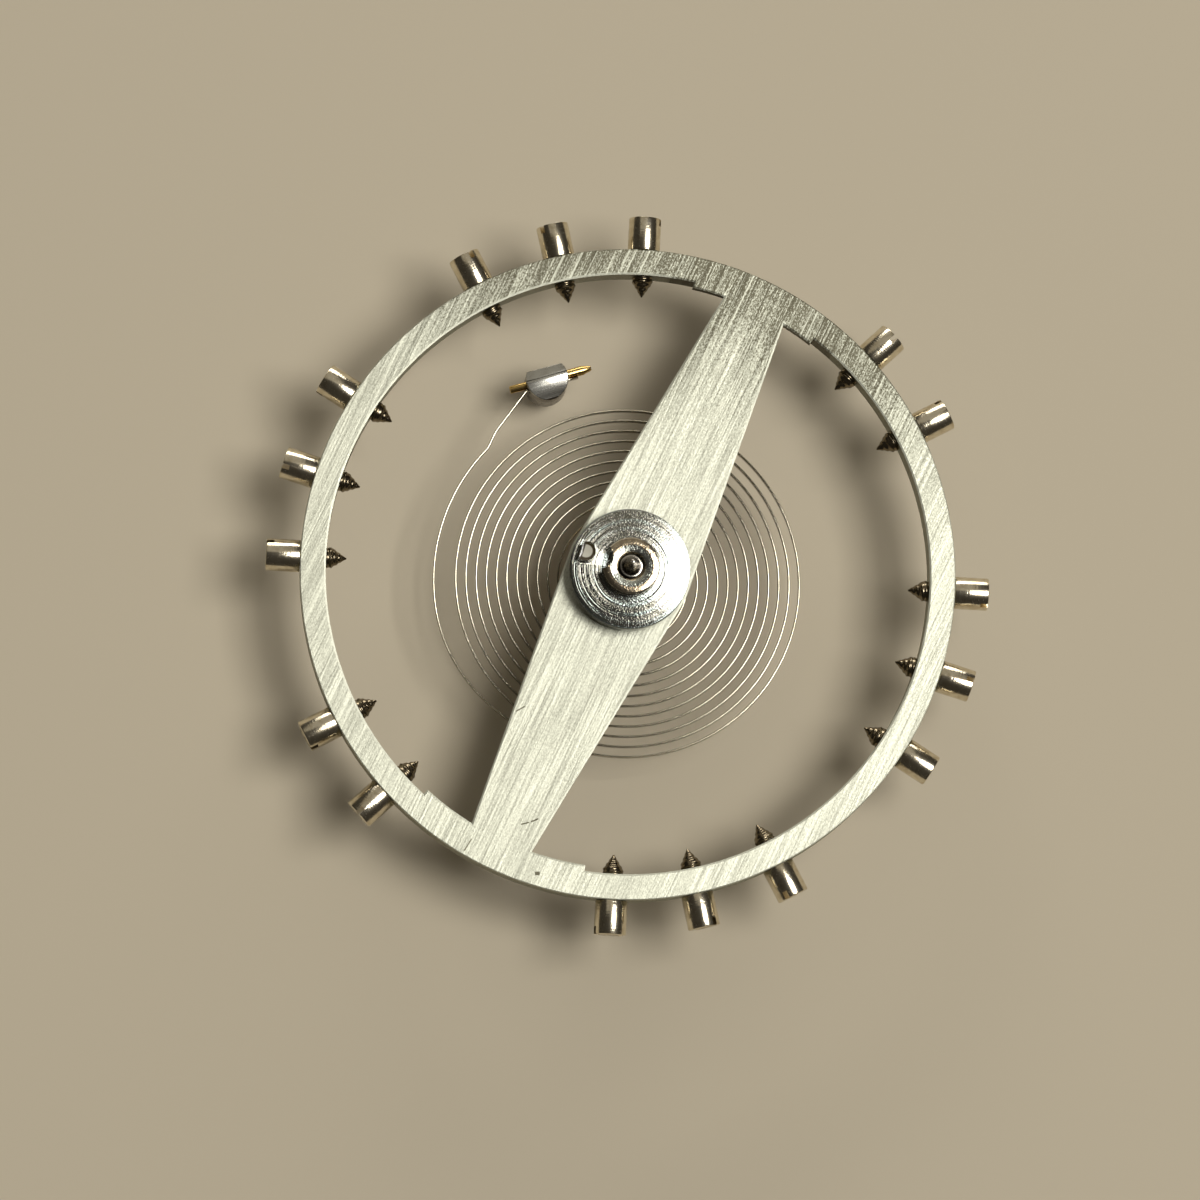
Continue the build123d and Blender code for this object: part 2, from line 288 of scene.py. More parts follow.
class Paint:
    # a material and the nodes in it
    def __init__(self, name):
        self.material = bpy.data.materials.new(name)
        self.material.use_nodes = True
        self.tree = self.material.node_tree
        self.tree.nodes.clear()

    def node(self, kind, settings=None, inputs=None, output=0):
        made = self.tree.nodes.new(kind)
        for key, value in (settings or {}).items():
            if key == "stops":
                while len(made.color_ramp.elements) < len(value):
                    made.color_ramp.elements.new(0.5)
                for element, (position, colour) in zip(made.color_ramp.elements, value):
                    element.position = position
                    element.color = colour
            else:
                setattr(made, key, value)
        for key, value in (inputs or {}).items():
            if isinstance(value, Wire):
                self.tree.links.new(value.socket, made.inputs[key])
            else:
                made.inputs[key].default_value = value
        return None if output is None else Wire(self, made.outputs[output])

    def place(self):
        # where the point lies on the piece, in millimetres
        metres = self.node("ShaderNodeTexCoord", output="Object")
        return self.vector("SCALE", metres, Scale=1 / mm)

    def kept(self, name):
        # the vector that each point keeps under that name
        return self.node("ShaderNodeAttribute", {"attribute_name": name}, output="Vector")

    def vector(self, operation, first, second=None, output=0, **others):
        inputs = {0: first}
        if second is not None:
            inputs[1] = second
        inputs.update(others)
        return self.node("ShaderNodeVectorMath", {"operation": operation}, inputs, output)

    def share(self, place, way):
        # how far the place lies along a way
        return self.vector("DOT_PRODUCT", place, way, "Value")

    def reach(self, place):
        # how far the place lies from the axis
        return self.vector("LENGTH", self.vector("MULTIPLY", place, (1, 1, 0)), output="Value")

    def noise(self, place, stretch, detail=2.0, roughness=0.5):
        spot = self.vector("MULTIPLY", place, stretch)
        inputs = {"Vector": spot, "Scale": 1.0, "Detail": detail, "Roughness": roughness}
        return self.node("ShaderNodeTexNoise", {}, inputs)

    def between(self, value, low, high, start=0.0, end=1.0):
        # smoothly from start to end while value goes from low to high
        inputs = {"Value": value, "From Min": low, "From Max": high}
        inputs.update({"To Min": start, "To Max": end})
        return self.node("ShaderNodeMapRange", {"interpolation_type": "SMOOTHSTEP"}, inputs)

    def within(self, value, low, high):
        # 1 from low to high, 0 outside
        entered = self.between(value, low - slack, low + slack)
        return entered * self.between(value, high - slack, high + slack, 1, 0)

    def blend(self, share, first, second):
        # the node's colour sockets are numbers 6 and 7, and its colour comes out of number 2
        inputs = {0: share, 6: first, 7: second}
        return self.node("ShaderNodeMix", {"data_type": "RGBA"}, inputs, 2)

    def leaning(self, way, amount, tilt=(0, 0, 0)):
        # the surface's own normal, leant by amount along a way in the piece's own axes
        own = self.node("ShaderNodeNewGeometry", output="Normal")
        spaces = {"vector_type": "VECTOR", "convert_from": "OBJECT", "convert_to": "WORLD"}
        lean = self.vector("ADD", self.vector("SCALE", way, Scale=amount), tilt)
        turned = self.node("ShaderNodeVectorTransform", spaces, {0: lean})
        return self.vector("NORMALIZE", self.vector("ADD", own, turned))

    def hazy(self, haze, look):
        return self.blend(self.between(haze, *metal["hazeRange"]), look["bright"], look["dull"])

    def bump(self, height, distance, normal=None):
        inputs = {"Height": height, "Distance": distance * mm}
        if normal is not None:
            inputs["Normal"] = normal
        return self.node("ShaderNodeBump", {}, inputs)

    def finish(self, **inputs):
        sockets = {key.replace("_", " "): value for key, value in inputs.items()}
        shader = self.node("ShaderNodeBsdfPrincipled", {}, sockets)
        self.node("ShaderNodeOutputMaterial", {}, {"Surface": shader}, None)
        return self.material


# Materials. Noise lies between 0 and 1 about 0.5, and a range is the part of it that is used.

metal = {
    "haze": (5, 5, 5),
    "hazeRange": (0.35, 0.7),
    "spots": (22, 22, 22),
    "speckRange": (0.66, 0.76),
    "speckRough": 0.3,
    "tinting": (1.5, 1.5, 9),
    "tintRange": (0.45, 0.7, 0, 0.5),
    "ringRough": 0.08,
    "hazeRough": 0.12,
    "lineRough": 0.1,
    "calm": 0.15,
}


def wheelPaint(look):
    # straight brushed: bright low in the picture, darker and more sandy higher up, where the
    # darkening is painted shade
    paint = Paint("wheelNickelSilver")
    place = paint.place()
    lines = paint.noise(place, look["lines"], roughness=0.6)
    grain = paint.noise(place, look["grain"], roughness=0.8)
    cloudy = paint.noise(place, look["clouds"])
    strokes = paint.between(
        paint.noise(place, look["strokes"], detail=1), *look["strokeRange"]
    )
    # painted shade: the tone darkens up the picture with a cloudy edge, and the sandy grain grows
    # with it
    upward = paint.share(place, look["shadeWay"]) + (cloudy - 0.5) * look["shadeSpread"]
    shadeAndSand = paint.between(upward, look["shadeFrom"], look["shadeTo"])
    highlit = burrHighlights(paint, place, grain, look)
    uneven = (grain - 0.5) * look["sandy"] + (lines - 0.5) * look["liny"]
    tone = shadeAndSand + uneven * (shadeAndSand + look["brightSand"]) + look["baseTone"]
    # painted highlight: the burred edges are lighter; the strokes are lighter scratches
    tone = tone * (1 - highlit * look["burrHighlight"]) * (1 - strokes * look["strokeShine"])
    # painted shade: the walls are darker below the top
    height = paint.share(place, upwards)
    wallRange = [wheelTop - drop for drop in look["wallDrops"]]
    tone = tone + paint.between(height, *wallRange, look["wallShade"], 0)
    for start, end, width in look["marks"]:
        tone = tone + markAt(paint, place, start, end, width)
    shades = list(zip(look["shadeAt"], (look["bright"], look["dull"], look["pit"])))
    normal = paint.leaning((0, 1, 0), (lines - 0.5) * look["lineLean"])
    return paint.finish(
        Base_Color=paint.node("ShaderNodeValToRGB", {"stops": shades}, {0: tone}),
        Metallic=1.0,
        Roughness=(grain - 0.5) * look["grainRough"] + (cloudy - 0.5) * look["cloudRough"]
        + look["roughness"],
        Normal=paint.bump(grain, look["gritDepth"], normal),
    )


def burrHighlights(paint, place, grain, look):
    # a painted highlight: 1 on the thin burr along the arm's edges and inside the rim, 0
    # elsewhere
    across = abs(paint.share(place, (0, 1, 0)))
    along = abs(paint.share(place, (1, 0, 0)))
    narrowing = (look["armCentreWidth"] - look["armEndWidth"]) / 2 / armRoot
    beyond = across + along * narrowing - look["armCentreWidth"] / 2
    radius = paint.reach(place)
    ragged = (grain - 0.5) * look["burrRagged"] + look["burrWidth"]
    fade = look["burrFade"]
    armEdge = paint.between(abs(beyond) - ragged, -fade, fade, 1, 0)
    rimEdge = paint.between(abs(radius - rimInside) - ragged, -fade, fade, 1, 0)
    inside = paint.between(radius, rimInside - look["footRoom"], rimInside, 1, 0)
    aside = paint.between(across - along * look["asideSlope"], 0, look["footRoom"])
    return (armEdge * inside).larger(rimEdge * aside)


def markAt(paint, place, start, end, width):
    # a dark dent or scratch between two points, which fades out towards its sides and ends:
    # between two shares of its width, and from one share of its half length
    core, rest, reach = 0.3, 0.7, 0.6
    way = Vector(end) - Vector(start)
    half = way.length / 2
    way.normalize()
    middle = (Vector(start) + Vector(end)) / 2
    along = paint.share(place, (way.x, way.y, 0)) - way.dot(middle)
    across = paint.share(place, (-way.y, way.x, 0)) - (way.x * middle.y - way.y * middle.x)
    near = paint.between(abs(across), core * width, rest * width, 1, 0)
    return near * paint.between(abs(along), reach * half, half, 1, 0)


def turnedPaint(name, look, wayName=None):
    # metal turned on a lathe and polished, with fine rings round its axis
    paint = Paint(name)
    spot = paint.kept("making")
    outward = paint.vector("NORMALIZE", paint.vector("MULTIPLY", spot, (1, 1, 0)))
    radius, height = paint.reach(spot), paint.share(spot, upwards)
    travel = paint.node("ShaderNodeCombineXYZ", {}, {"Z": radius + height})
    turning = paint.vector("ADD", paint.vector("SCALE", outward, Scale=look["ringWave"]), travel)
    rings = paint.noise(turning, (1, 1, look["ringsEach"]), roughness=0.6)
    fine = paint.noise(turning, (1, 1, look["fineRingsEach"]), detail=1, roughness=0.6)
    haze = paint.noise(spot, metal["haze"], detail=3, roughness=0.6)
    spots = paint.noise(spot, metal["spots"], detail=1, roughness=0.6)
    shade = paint.hazy(haze, look)
    if "tint" in look:
        bands = paint.noise(turning, metal["tinting"], detail=1)
        tinting = paint.between(bands, *metal["tintRange"])
        shade = paint.blend(tinting, shade, look["tint"])
    # colours laid on by radius and level; some are painted shade or painted highlight, as noted
    # at each piece
    for colour, reach, rise in look.get("zones", []):
        zone = paint.within(radius, *reach) * paint.within(height, *rise)
        shade = paint.blend(zone, shade, colour)
    speck = paint.between(spots, *metal["speckRange"], 0, look["specks"])
    rough = (haze - 0.5) * look["haze"] + (rings - 0.5) * metal["ringRough"]
    rough = rough + speck * metal["speckRough"]
    way = paint.kept(wayName) if wayName else paint.vector("ADD", outward, upwards)
    lean = (fine - 0.5) * look["lean"] + look.get("crown", 0.0)
    if "calmAbove" in look:
        calmFrom = look["calmAbove"]
        lean = lean * paint.between(height, calmFrom, calmFrom + slack, 1, metal["calm"])
    normal = paint.leaning(way, lean, look.get("tilt", (0, 0, 0)))
    return paint.finish(
        Base_Color=paint.blend(speck, shade, look["speck"]),
        Metallic=1.0,
        Roughness=rough + look["roughness"],
        Normal=paint.bump(rings + spots * look["pits"], look["ringDepth"], normal),
    )


def stripPaint(name, look):
    # drawn or rolled metal, with faint lines along it, and perhaps darker flanks, which are
    # painted shade
    paint = Paint(name)
    spot = paint.kept("making")
    lines = paint.noise(spot, look["lines"], roughness=0.6)
    haze = paint.noise(spot, look["haze"], detail=3, roughness=0.6)
    shade = paint.hazy(haze, look)
    # painted shade: the flanks are darker than the edges
    if "flank" in look:
        rise = abs(paint.share(spot, upwards)) - look["flankFrom"]
        shade = paint.blend(paint.between(rise, 0, slack, 1, 0), shade, look["flank"])
    rough = (haze - 0.5) * metal["hazeRough"] + (lines - 0.5) * metal["lineRough"]
    return paint.finish(
        Base_Color=shade,
        Metallic=1.0,
        Roughness=rough + look["roughness"],
        Normal=paint.bump(lines, look["lineDepth"]),
    )


def stonePaint(look):
    # pale synthetic stone, polished, with faint growth bands inside, and its walls and outline
    # painted dark as painted shade
    paint = Paint("impulseStone")
    place = paint.place()
    bands = paint.noise(place, look["bands"])
    smear = paint.noise(place, look["smear"], detail=3)
    axis = polar(look["distance"], look["angle"])
    local = paint.vector("SUBTRACT", place, (axis.x, axis.y, 0))
    dark, fade = look["radius"] - look["outline"], look["outlineFade"]
    curved = paint.between(paint.reach(local), dark - fade, dark + fade)
    out = polar(1, look["angle"])
    flat = paint.share(local, (out.x, out.y, 0))
    flatRange = [look["flat"] - drop for drop in look["flatDrops"]]
    # painted shade: the outline along the curve and the flat is dark
    edge = curved.larger(paint.between(flat, *flatRange))
    shade = paint.blend(bands, look["pale"], look["deep"])
    return paint.finish(
        Base_Color=paint.blend(edge, shade, look["outlineShade"]),
        Roughness=(smear - 0.5) * look["smearRough"] + look["roughness"],
        IOR=look["refraction"],
        Transmission_Weight=look["clearness"],
        Normal=paint.bump(smear, look["smearDepth"]),
    )


# Balance wheel: its outline from above is pushed down to the arm's thickness, and the rim's
# part of it further, to the rim's height
print("balance wheel")
wheel = {
    "rimRadius": 8.50,
    "rimWall": 0.67,
    "rimEdge": 0.03,
    "rimSteps": 288,
    "armCentreWidth": 3.26,
    "armEndWidth": 1.64,
    "armThickness": 0.32,
    "armCorner": 0.08,
    "armCornerSteps": 4,
    "armEdge": 0.012,
    "footRoom": 0.1,
    "burrWidth": 0.045,
    "burrDrop": 0.014,
    "burrRagged": 0.06,
    "burrFade": 0.015,
    "asideSlope": 0.3,
    "ledgeWall": 0.15,
    "ledgeHalfAngles": {0: 12.7, 180: 17.0},
    "ledgeEndRoom": 0.7,
    "seatRadius": 0.50,
    "seatSteps": 64,
    "screwHoleRadius": 0.25,
    "screwHoleSteps": 40,
    "screwAngles": [
        side + 22.5 + 15 * step for side in (0, 180) for step in (0, 1, 2, 4, 5, 6, 8, 9)
    ],
    "lines": (0.4, 22, 22),
    "grain": (18, 28, 28),
    "clouds": (0.25, 0.5, 0.5),
    "strokes": (0.1, 14, 14),
    "strokeRange": (0.60, 0.68),
    "strokeShine": 0.55,
    # how much the painted highlight on the burred edges lightens the tone
    "burrHighlight": 0.8,
    "lineLean": 0.35,
    "gritDepth": 0.004,
    "roughness": 0.52,
    "grainRough": 0.2,
    "cloudRough": 0.1,
    "shadeAt": (0.0, 0.6, 13 / 15),
    "bright": (0.64, 0.645, 0.535, 1),
    "dull": (0.34, 0.34, 0.27, 1),
    "pit": (0.14, 0.13, 0.09, 1),
    # the painted shade's way up the picture, where it starts and ends, and how cloudy its edge is
    "shadeWay": (0.984, 0.180, 0),
    "shadeFrom": 1.0,
    "shadeTo": 11.6,
    "shadeSpread": 5,
    "sandy": 1.6,
    "liny": 0.9,
    "brightSand": 0.75,
    "baseTone": 0.12,
    # painted shade on the walls, coming in between these drops below the top
    "wallShade": 0.55,
    "wallDrops": (0.06, 0.03),
    "marks": [
        ((-7.131, -0.278), (-6.958, -0.493), 0.035),
        ((-6.958, -0.493), (-6.766, -0.663), 0.035),
        ((-8.111, -1.150), (-8.043, -1.292), 0.09),
        ((-8.41, 0.726), (-7.96, 0.68), 0.03),
        ((-4.552, 1.089), (-4.289, 0.908), 0.03),
    ],
}
rimBase, wheelTop = levels("balance_wheel")
screwLevel = (rimBase + wheelTop) / 2
rimInside = wheel["rimRadius"] - wheel["rimWall"]
rimMiddle = wheel["rimRadius"] - wheel["rimWall"] / 2
ringStep = 360 / wheel["rimSteps"]
ledgeInside = rimInside - wheel["ledgeWall"]
armBase = wheelTop - wheel["armThickness"]
# the arm has its end width at this radius, a fifth of the way into the rim
armRoot = rimInside + wheel["rimWall"] / 5
flipY = Matrix.Diagonal((1, -1, 1))


def wheelSheet():
    # the wheel from above: a ring of faces, and one face for the arm and its ledges, which
    # shares the ring's points. The ring has a point at each ledge's end and none close to it.
    ledges = wheel["ledgeHalfAngles"].items()
    ends = [(centre + side * half) % 360 for centre, half in ledges for side in (-1, 1)]
    turns = [360 * step / wheel["rimSteps"] for step in range(wheel["rimSteps"])]
    room = wheel["ledgeEndRoom"]
    turns = sorted(ends + [turn for turn in turns if min(abs(turn - end) for end in ends) > room])
    shape = bmesh.new()
    inner = {turn: shape.verts.new(polar(rimInside, turn, wheelTop)) for turn in turns}
    outer = [shape.verts.new(polar(wheel["rimRadius"], turn, wheelTop)) for turn in turns]
    for number, turn in enumerate(turns):
        shape.faces.new([inner[turns[number - 1]], outer[number - 1], outer[number], inner[turn]])
    points = []
    for centre, half in ledges:
        arc = [polar(ledgeInside, centre + turn, wheelTop) for turn in ledgeTurns(half)]
        held = sorted(signedTurn(turn - centre) for turn in turns)
        held = [turn for turn in held if abs(turn) < half + hair]
        points += [shape.verts.new(mirrored(place, centre)) for place in arc]
        points += [nearest(inner, centre + turn) for turn in held]
        points += [shape.verts.new(place) for place in reversed(arc)]
        points.append(shape.verts.new(polar(wheel["armCentreWidth"] / 2, centre + 90, wheelTop)))
    corners = [point for point in points if point.co.xy.length < wheel["armCentreWidth"]]
    shape.faces.new(points)
    bevelled(shape, corners, wheel["armCorner"], wheel["armCornerSteps"], affect="VERTICES")
    return shape


def ledgeTurns(half):
    # from where the arm's edge meets the ledge to the ledge's end, in degrees
    middle, end = wheel["armCentreWidth"] / 2, wheel["armEndWidth"] / 2
    slope = (middle - end) / armRoot
    start = degrees(asin(middle / (ledgeInside * sqrt(1 + slope ** 2))) - atan(slope))
    steps = ceil((half - start) / ringStep)
    return [start + (half - start) * step / steps for step in range(steps + 1)]


def mirrored(place, centre):
    # the same place on the other side of the arm's line at that end
    there = Matrix.Rotation(radians(centre), 3, "Z")
    back = Matrix.Rotation(-radians(centre), 3, "Z")
    return there @ flipY @ back @ place


def signedTurn(turn):
    # the same turn between -180 and 180 degrees
    return (turn + 180) % 360 - 180


def nearest(points, turn):
    return min(points.items(), key=lambda item: abs(signedTurn(item[0] - turn)))[1]


def wheelBlank():
    # the whole sheet goes down by the arm's thickness, and the faces under the rim go further
    shape = pushed(wheelSheet(), wheel["armThickness"])
    down = -0.9
    below = [
        face
        for face in shape.faces
        if face.normal.z < down and face.calc_center_median().xy.length > rimInside
    ]
    drawnDown(shape, below, armBase - rimBase)
    bmesh.ops.delete(shape, geom=below, context="FACES")
    tidied(shape)
    softened(shape, wheel["rimEdge"], pick=isRimEdge)
    return turnedDown(softened(shape, wheel["armEdge"], pick=isArmFoot))


def isRimEdge(radius, z):
    return z < rimBase + hair or radius > rimMiddle and z > wheelTop - hair


def isArmFoot(radius, z):
    return abs(z - armBase) < hair and radius < rimInside - wheel["footRoom"]


def turnedDown(shape):
    # lowers the top's inner border, which leaves a slight slope there, as brushing does
    bmesh.ops.inset_region(
        shape,
        faces=[face for face in shape.faces if isTop(face)],
        thickness=wheel["burrWidth"],
        use_even_offset=True,
        use_boundary=True,
    )
    border = [corner for corner in shape.verts if isInnerBorder(corner)]
    bmesh.ops.translate(shape, vec=(0, 0, -wheel["burrDrop"]), verts=border)
    bmesh.ops.triangulate(shape, faces=[face for face in shape.faces if len(face.verts) > 4])
    return shape


def isTop(face):
    return face.calc_center_median().z > wheelTop - weld


def isInnerBorder(corner):
    onTop = [isTop(face) for face in corner.link_faces]
    return any(onTop) and not all(onTop) and corner.co.xy.length < rimMiddle


def outwardPlace(angle, distance):
    # Z points outwards from the rim, X points up
    return facing(polar(distance, angle, screwLevel), polar(1, angle), upwards)


screwHoles = [
    rod(wheel["screwHoleRadius"], 2 * wheel["rimWall"], outwardPlace(angle, rimMiddle),
        wheel["screwHoleSteps"])
    for angle in wheel["screwAngles"]
]
wheelShape = carved(wheelBlank(), joined(screwHoles))
seatPlace = Matrix.Translation((0, 0, armBase))
wheelShape = carved(wheelShape, rod(wheel["seatRadius"], tool, seatPlace, wheel["seatSteps"]))
bmesh.ops.dissolve_degenerate(wheelShape, dist=weld / 2, edges=wheelShape.edges[:])
addPiece("balance_wheel", wheelShape, wheelPaint(wheel), sharp=12)


# Balance screws: one is shaped with Z along it, and copies of it are turned into place
print("balance screws")
screw = {
    "headRadius": 0.42,
    "headLength": 0.88,
    "headEdge": 0.03,
    "slotWidth": 0.13,
    "slotDepth": 0.20,
    "slotTurn": 68.0,
    "shankRadius": 0.25,
    "threadRadius": 0.275,
    "threadPitch": 0.12,
    "threadDepth": 0.022,
    "threadReach": 0.15,
    "threadRings": 40,
    "threadFade": 0.16,
    "pointLength": 0.38,
    "pointRadius": 0.015,
    "steps": 48,
    "ringWave": 0.25,
    "ringsEach": 16,
    "lean": 0.35,
    "fineRingsEach": 90,
    "ringDepth": 0.0006,
    "pits": 1.0,
    "roughness": 0.2,
    "haze": 0.12,
    "specks": 0.3,
    "bright": (0.78, 0.71, 0.56, 1),
    "dull": (0.60, 0.52, 0.37, 1),
    "speck": (0.30, 0.25, 0.19, 1),
    "zones": [((0.22, 0.18, 0.12, 1), (0, 1), (-2, -0.3))],
}
threadTop = -wheel["rimWall"] - slack


def screwOutline():
    # from the head's end down to the point, with close rings where the thread is cut
    outline = [
        (0, screw["headLength"]),
        (screw["headRadius"], screw["headLength"]),
        (screw["headRadius"], 0),
        (screw["shankRadius"], 0),
        (screw["shankRadius"], -wheel["rimWall"]),
    ]
    bottom = -(wheel["rimWall"] + screw["threadReach"]) - screw["pointLength"]
    for ring in range(screw["threadRings"] + 1):
        height = threadTop + (bottom - threadTop) * ring / screw["threadRings"]
        taper = (height - bottom) / screw["pointLength"]
        radius = screw["pointRadius"] + taper * (screw["threadRadius"] - screw["pointRadius"])
        outline.append((min(radius, screw["threadRadius"]), height))
    outline.append((0, bottom))
    return outline


def threaded(shape):
    # cuts the screw line into the close rings, shallower towards the point
    for point in shape.verts:
        radius = point.co.xy.length
        if point.co.z < threadTop + hair and radius > screw["pointRadius"] * 2:
            angle = Vector((1, 0)).angle_signed(point.co.xy) / (2 * pi)
            turn = (point.co.z / screw["threadPitch"] + angle) % 1
            share = min(1, radius / screw["threadFade"])
            cut = screw["threadDepth"] * abs(2 * turn - 1) * share
            point.co.xy *= (radius - cut) / radius
    return shape


def isHeadEdge(radius, z):
    return z > -slack and radius > screw["shankRadius"] + slack


def screwBlank():
    head = spun(screwOutline(), screw["steps"])
    softened(head, screw["headEdge"], pick=isHeadEdge)
    slotSize = (tool, screw["slotWidth"], 2 * screw["slotDepth"])
    slotted = carved(head, block(slotSize, Matrix.Translation((0, 0, screw["headLength"]))))
    return threaded(slotted)


screwPaint = turnedPaint("polishedNickelSilver", screw, "screwWay")
screwMaster = asMesh(screwBlank())
for number, angle in enumerate(wheel["screwAngles"], start=1):
    shape = bmesh.new()
    shape.from_mesh(screwMaster)
    noteMaking(shape)
    noteMaking(shape, "screwWay", lambda point: polar(1, angle))
    slotTurn = Matrix.Rotation(radians(number * screw["slotTurn"]), 4, "Z")
    shape.transform(outwardPlace(angle, wheel["rimRadius"]) @ slotTurn)
    addPiece(f"balance_screw_{number:02d}", shape, screwPaint)
bpy.data.meshes.remove(screwMaster)


# Balance staff
print("staff")
staff = {
    "pivotRadius": 0.06,
    "pivotLength": 0.30,
    "pivotRound": 0.03,
    "cockConeRadius": 0.20,
    "cockConeTop": 0.60,
    "colletSeatRadius": 0.32,
    "rivetRadius": 0.62,
    "rivetHeight": 0.08,
    "hubRadius": 0.85,
    "postRadius": 0.32,
    "postTop": 4.60,
    "postConeRadius": 0.25,
    "postEdge": 0.035,
    "steps": 96,
    "edge": 0.012,
    "edgeRoom": 0.1,
    "ringWave": 0.2,
    "ringsEach": 20,
    "lean": 0.4,
    "fineRingsEach": 120,
    "ringDepth": 0.0005,
    "pits": 1.0,
    "roughness": 0.16,
    "haze": 0.1,
    "specks": 0.2,
    # steel with a warm tint, partly its own colour and partly painted reflection of a warm room
    "bright": (0.52, 0.49, 0.44, 1),
    "dull": (0.38, 0.35, 0.30, 1),
    "speck": (0.20, 0.17, 0.14, 1),
    # painted shade: a dark ring at the post's edge, in the gap between post and safety roller
    "zones": [((0.07, 0.06, 0.04, 1), (0.285, 0.4), (4.3, 5))],
}
staffTop = levels("balance_staff")[1]
tableBase, tableTop = levels("roller_table")


def staffBlank():
    # from the cock-side pivot's end up to the roller-side pivot's
    low, high = staff["edgeRoom"], staff["postTop"] - staff["edgeRoom"]
    outline = [
        (0, 0),
        (staff["pivotRadius"], 0),
        (staff["pivotRadius"], staff["pivotLength"]),
        (staff["cockConeRadius"], staff["cockConeTop"]),
        (staff["colletSeatRadius"], staff["cockConeTop"]),
        (staff["colletSeatRadius"], armBase - staff["rivetHeight"]),
        (staff["rivetRadius"], armBase - staff["rivetHeight"]),
        (staff["rivetRadius"], armBase),
        (wheel["seatRadius"], armBase),
        (wheel["seatRadius"], wheelTop),
        (staff["hubRadius"], wheelTop),
        (staff["hubRadius"], tableBase),
        (staff["postRadius"], tableBase),
        (staff["postRadius"], staff["postTop"]),
        (staff["postConeRadius"], staff["postTop"]),
        (staff["pivotRadius"], staffTop - staff["pivotLength"]),
        (staff["pivotRadius"], staffTop),
        (0, staffTop),
    ]
    shape = spun(outline, staff["steps"])
    softened(shape, staff["pivotRound"], 5, lambda radius, z: z < slack or z > staffTop - slack)
    softened(shape, staff["edge"], pick=lambda radius, z: low < z < high, sharp=40)
    return softened(shape, staff["postEdge"], pick=isPostEdge, sharp=40)


def isPostEdge(radius, z):
    return z > staff["postTop"] - slack and radius > staff["postConeRadius"] + slack


addPiece("balance_staff", noteMaking(staffBlank()), turnedPaint("turnedSteel", staff))


# Roller table and its stone
print("double roller")
rollerTable = {
    "radius": 1.56,
    "edge": 0.03,
    "steps": 144,
    "ringWave": 0.3,
    "ringsEach": 26,
    "lean": 1.0,
    "crown": -0.045,
    "tilt": (-0.038, -0.018, 0),
    "fineRingsEach": 110,
    "ringDepth": 0.0012,
    "pits": 3.0,
    "roughness": 0.15,
    "haze": 0.16,
    "specks": 0.5,
    "bright": (0.35, 0.345, 0.305, 1),
    "dull": (0.24, 0.235, 0.195, 1),
    "tint": (0.50, 0.60, 0.60, 1),
    "speck": (0.85, 0.83, 0.78, 1),
    # painted shade: the side wall is near black, for the dark wall and the shadow under the
    # table's edge
    "zones": [((0.05, 0.04, 0.02, 1), (1.54, 1.7), (3.7, 4.03))],
}
stone = {
    "angle": 97.2,
    "distance": 1.22,
    "radius": 0.25,
    "flat": 0.13,
    "clearance": 0.01,
    "edge": 0.02,
    "outline": 0.085,
    "outlineFade": 0.015,
    "flatDrops": (0.09, 0.06),
    "bands": (2, 2, 9),
    "smear": (9, 9, 9),
    "smearDepth": 0.0004,
    "smearRough": 0.12,
    "roughness": 0.12,
    "refraction": 1.76,
    "clearness": 0.3,
    "pale": (0.93, 0.91, 0.78, 1),
    "deep": (0.68, 0.64, 0.52, 1),
    # painted shade for the walls and outline
    "outlineShade": (0.08, 0.06, 0.03, 1),
}
stoneBase, stoneTop = levels("impulse_jewel")


def stoneBlank(clearance, base, top):
    # the stone's D-shaped prism between two levels
    shape = flatSided(stone["radius"] + clearance, stone["flat"] + clearance)
    pushed(shape, top - base)
    middle = polar(stone["distance"], stone["angle"], top)
    shape.transform(facing(middle, upwards, polar(1, stone["angle"])))
    return shape


def isOutsidePost(radius, z):
    return radius > staff["postRadius"] + slack


tableShape = ringBlank(staff["postRadius"], rollerTable["radius"], tableBase, tableTop,
                       rollerTable["steps"])
softened(tableShape, rollerTable["edge"], pick=isOutsidePost)
stoneHole = stoneBlank(stone["clearance"], tableBase - shortTool, tableTop + shortTool)
tableShape = carved(tableShape, stoneHole)
addPiece("roller_table", noteMaking(tableShape), turnedPaint("rollerSteel", rollerTable))
stoneShape = stoneBlank(0, stoneBase, stoneTop)
softened(stoneShape, stone["edge"], 3, lambda radius, z: z > stoneTop - slack)
addPiece("impulse_jewel", stoneShape, stonePaint(stone))


# Safety roller: a small disc on a hub, with a shallow recess and the passing crescent
safety = {
    "hubRadius": 0.46,
    "radius": 0.74,
    "edge": 0.05,
    "discBase": 4.33,
    "recessRadius": 0.55,
    "recessDepth": 0.07,
    "recessEdge": 0.008,
    "boreEdge": 0.035,
    "crescentRadius": 0.34,
    "crescentDistance": 0.84,
    "crescentSteps": 64,
    "steps": 128,
    "ringWave": 0.2,
    "ringsEach": 30,
    "lean": 0.35,
    "fineRingsEach": 120,
    "ringDepth": 0.0012,
    "pits": 3.0,
    "roughness": 0.15,
    "haze": 0.14,
    "specks": 0.4,
    # steel tinted brown as painted reflection of a warm room
    "bright": (0.52, 0.44, 0.32, 1),
    "dull": (0.34, 0.28, 0.19, 1),
    "speck": (0.16, 0.12, 0.08, 1),
    "calmAbove": 4.64,
    "zones": [
        ((0.36, 0.37, 0.33, 1), (0.38, 0.54), (4.55, 4.64)),
        # painted shade in the gap at the bore, round the post
        ((0.06, 0.05, 0.03, 1), (0.3, 0.37), (4.5, 4.7)),
        # painted highlight: the outer chamfer is pale cream
        ((0.85, 0.78, 0.62, 1), (0.7, 0.8), (4.6, 4.675)),
    ],
}
safetyTop = levels("safety_roller")[1]


